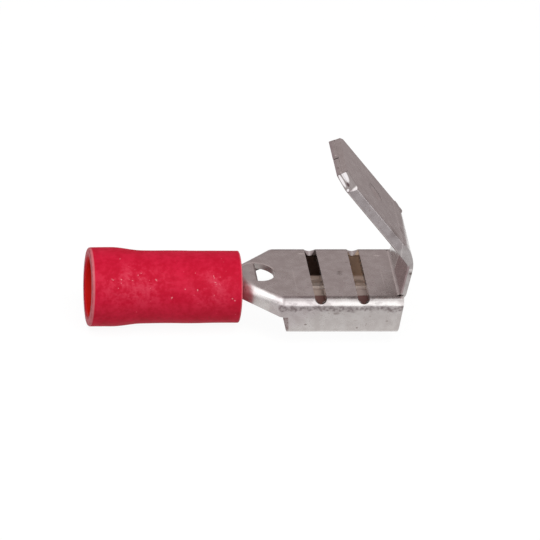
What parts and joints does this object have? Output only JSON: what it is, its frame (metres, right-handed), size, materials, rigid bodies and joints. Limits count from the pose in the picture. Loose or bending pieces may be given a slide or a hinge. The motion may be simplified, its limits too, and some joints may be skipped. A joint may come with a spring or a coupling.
{
  "type": "insulated piggyback spade terminal",
  "caption": "Crimp terminal with a red sleeve, a folded receptacle that slides on to a tab, and a bent-up male tab that takes another receptacle.",
  "frame": {"origin": "centre of the sleeve's mouth, on the axis of the wire", "axes": "+X along the wire, from the sleeve's mouth to the front of the socket; +Y across the socket; +Z towards the side of the male tab"},
  "size_m": [0.0217, 0.0074, 0.013],
  "materials": {
    "tinned_brass": "tin plated, soft satin with faint rolling marks",
    "red_vinyl": "soft moulded vinyl, slightly mottled"
  },
  "bodies": {
    "root": {"terminal": "tinned_brass", "insulating_sleeve": "red_vinyl"}
  },
  "joints": []
}
